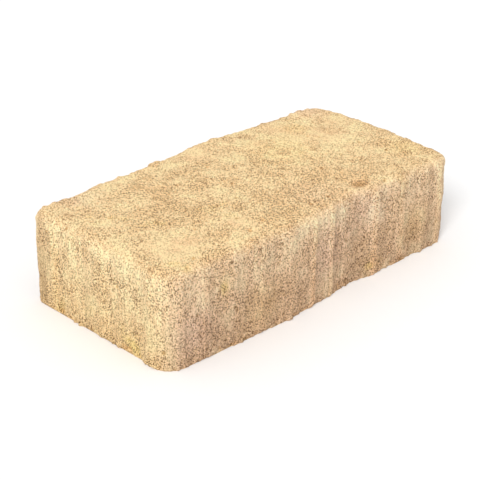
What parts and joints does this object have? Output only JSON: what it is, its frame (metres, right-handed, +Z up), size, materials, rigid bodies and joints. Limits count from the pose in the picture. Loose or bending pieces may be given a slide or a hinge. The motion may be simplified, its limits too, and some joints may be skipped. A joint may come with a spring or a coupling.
{
  "type": "concrete paver",
  "caption": "Rectangular pressed concrete paver with waving side walls, rounded corners and a rough, worn top, laid flat on a sand bed.",
  "frame": {"origin": "centre of the flat bed face that the paver lies on", "axes": "+X along the length, +Y across the width, +Z up from the bed to the worn top"},
  "size_m": [0.1984, 0.1019, 0.05],
  "materials": {
    "concrete": "matt, open-grained buff concrete with sandy pores"
  },
  "bodies": {
    "root": {"paver": "concrete"}
  },
  "joints": []
}
